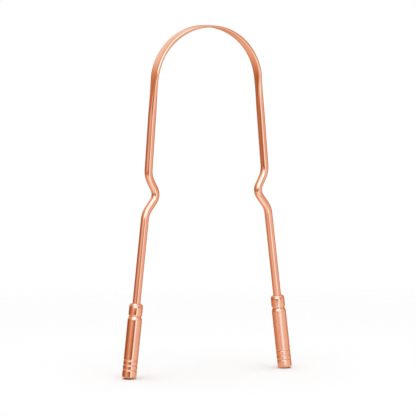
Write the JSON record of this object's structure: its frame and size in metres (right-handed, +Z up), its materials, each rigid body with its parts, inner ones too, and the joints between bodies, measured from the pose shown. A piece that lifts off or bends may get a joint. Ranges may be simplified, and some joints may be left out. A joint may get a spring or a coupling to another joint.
{
  "type": "tongue scraper",
  "caption": "Tall U-shaped copper tongue scraper: a wire pressed flat over the arch, kinked once in each leg, with a turned grooved handle on each end.",
  "frame": {"origin": "at the centre of the bounding box's bottom, level with the lowest points of the two handles' ends and midway between them", "axes": "+Z up from the handles to the crown of the arch, +X across the loop towards the right handle, +Y through the loop, along the flat band's width"},
  "size_m": [0.0802, 0.0072, 0.15],
  "materials": {
    "polished_copper_wire": "polished copper, with fine drawing lines along the wire",
    "turned_copper": "polished copper, with fine turning lines round the handle"
  },
  "bodies": {
    "root": {"scraper_band": "polished_copper_wire", "left_handle": "turned_copper", "right_handle": "turned_copper"}
  },
  "joints": []
}
